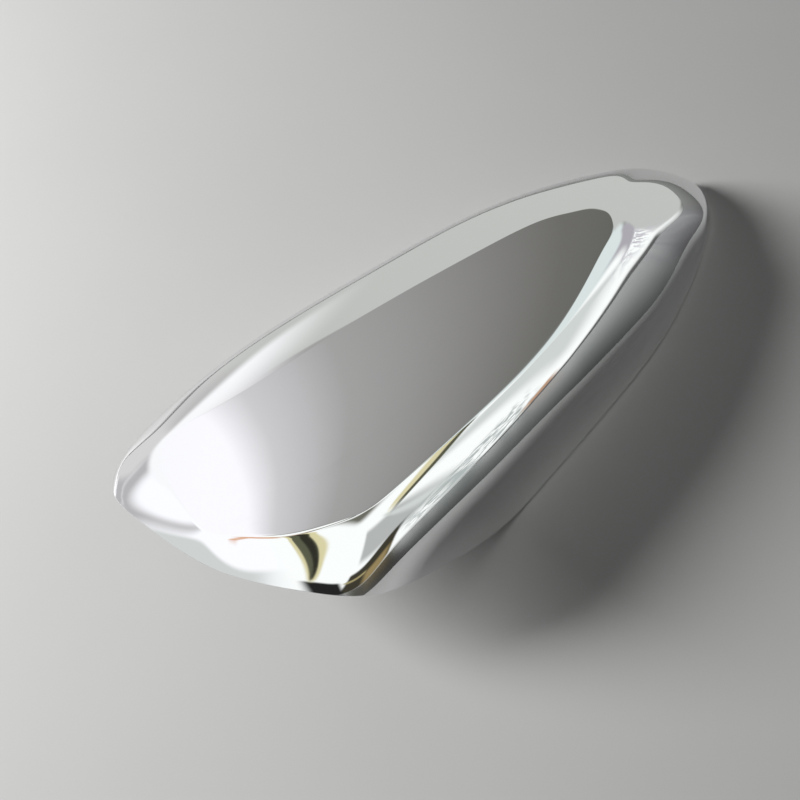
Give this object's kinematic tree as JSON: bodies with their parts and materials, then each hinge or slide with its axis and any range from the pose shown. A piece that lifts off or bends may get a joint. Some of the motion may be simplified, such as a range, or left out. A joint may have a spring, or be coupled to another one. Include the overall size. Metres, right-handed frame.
{
  "type": "wing mirror cover",
  "caption": "Long domed chrome shell that caps a car's wing mirror: wide at the arm end, tapering to a rounded tip, open underneath, its rim lifting towards the wide end.",
  "frame": {"origin": "centre of the bounding box in plan, on the plane that the flat length of the rim rests on", "axes": "+X along the cover towards its narrow outer tip, +Z out of the visible face, with the open side down"},
  "size_m": [0.255, 0.1046, 0.0475],
  "materials": {
    "chrome_plate": "bright polished plating on moulded plastic"
  },
  "bodies": {
    "root": {"mirror_cover": "chrome_plate"}
  },
  "joints": []
}
